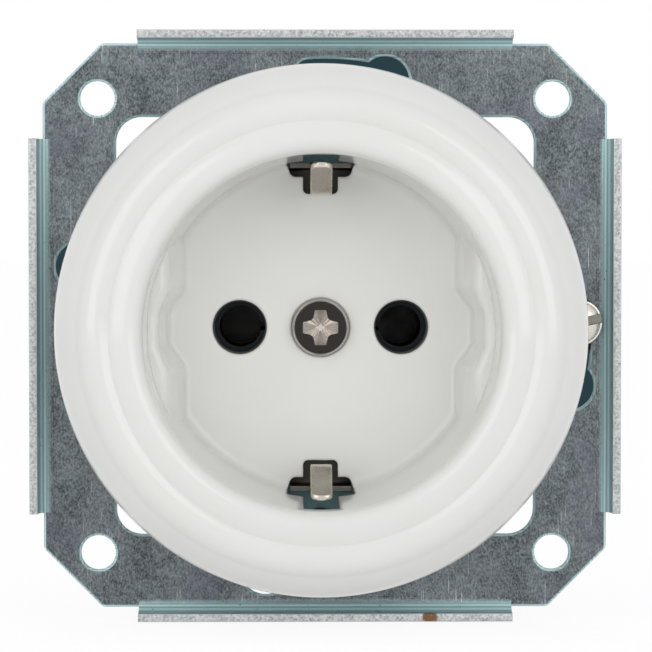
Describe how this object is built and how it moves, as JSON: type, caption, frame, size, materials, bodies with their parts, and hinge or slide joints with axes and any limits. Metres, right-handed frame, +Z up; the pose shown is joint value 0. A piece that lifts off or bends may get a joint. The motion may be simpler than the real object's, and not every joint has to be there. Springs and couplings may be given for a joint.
{
  "type": "type f wall socket",
  "caption": "Round white wall socket insert with a rolled rim, deep plug recess and earth fingers, on a flanged zinc-plated plate for a round wall box.",
  "frame": {"origin": "middle of the plate's corner holes, on the plate's back face, which is the wall plane", "axes": "+Z up the wall, +X to the right seen from the room, -Y out of the wall"},
  "size_m": [0.07, 0.0483, 0.07],
  "materials": {
    "white_gloss": "glossy white moulding",
    "zinc_plate": "zinc-plated sheet, speckled",
    "dark_thermoset": "dark moulded thermoset",
    "nickel": "nickel plate",
    "rivet_steel": "plain steel",
    "brass": "bright brass",
    "spring_steel": "spring steel",
    "fibre": "pressed fibre"
  },
  "bodies": {
    "root": {"front_cover": "white_gloss", "support_plate": "zinc_plate", "contact_base": "dark_thermoset", "rear_cap": "dark_thermoset", "cover_screw": "nickel", "earth_bridge": "nickel", "box_screw": "nickel", "live_terminal_screw": "nickel", "neutral_terminal_screw": "nickel", "earth_terminal_screw": "nickel", "rear_cap_screws": "nickel", "plate_rivets": "rivet_steel", "earth_pillar": "brass", "live_contact": "brass", "neutral_contact": "brass", "live_terminal_cage": "brass", "neutral_terminal_cage": "brass", "earth_terminal_cage": "brass", "live_contact_spring": "spring_steel", "neutral_contact_spring": "spring_steel", "screw_retainer": "fibre"}
  },
  "joints": []
}
